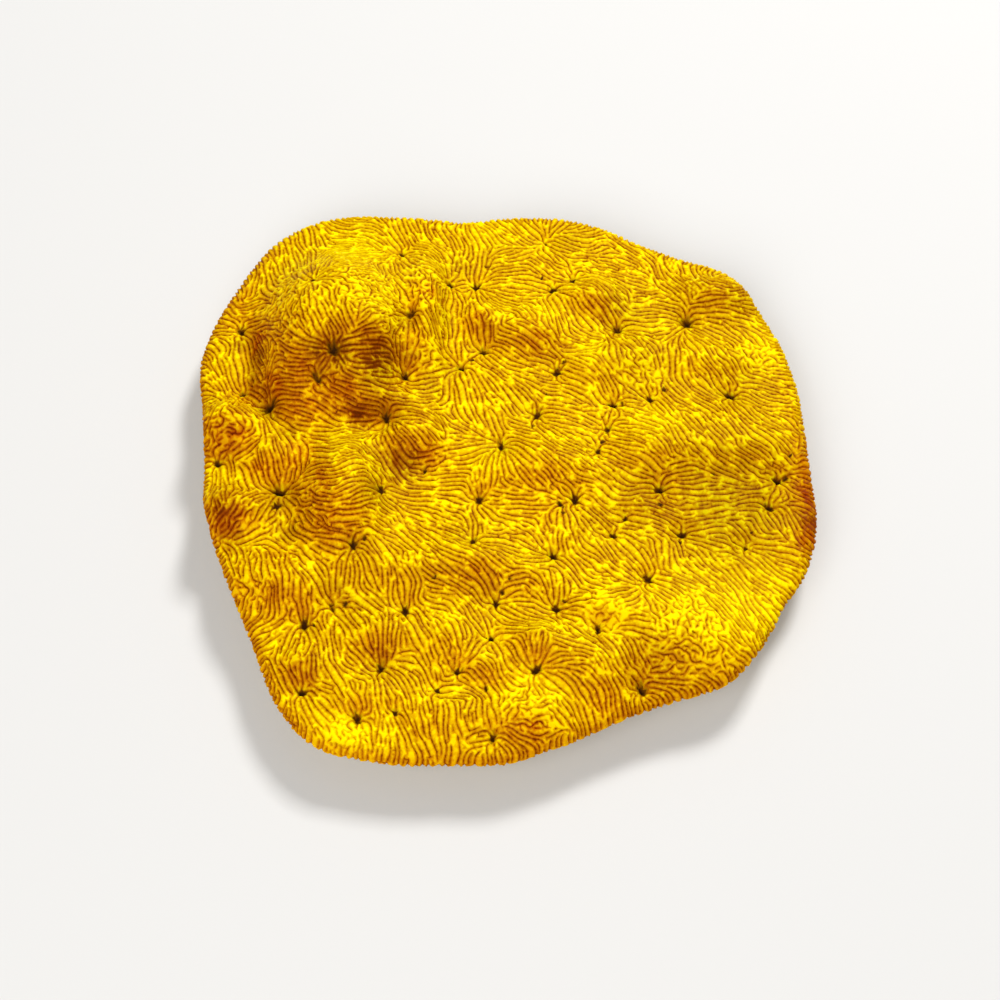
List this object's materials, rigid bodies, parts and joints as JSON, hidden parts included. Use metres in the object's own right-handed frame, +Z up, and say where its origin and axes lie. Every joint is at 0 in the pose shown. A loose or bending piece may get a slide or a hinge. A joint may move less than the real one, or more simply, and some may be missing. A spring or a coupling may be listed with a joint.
{
  "type": "leptoseris coral colony",
  "caption": "Low, lumpy plate of encrusting coral with funnel-set mouths and a rounded overhanging margin, cut flat underneath to rest on any level surface.",
  "frame": {"origin": "middle of the flat cut's level, under the middle of the colony's box", "axes": "+Z up out of the living surface; +Y away from the side that the picture looks from; +X to that view's right"},
  "size_m": [0.0632, 0.0644, 0.0139],
  "materials": {
    "coral": "moist living tissue over a finely ribbed skeleton: bright yellow rib crests, amber to red-brown grooves, near-black mouths, pale cream on the flat cut"
  },
  "bodies": {
    "root": {"coral_colony": "coral"}
  },
  "joints": []
}
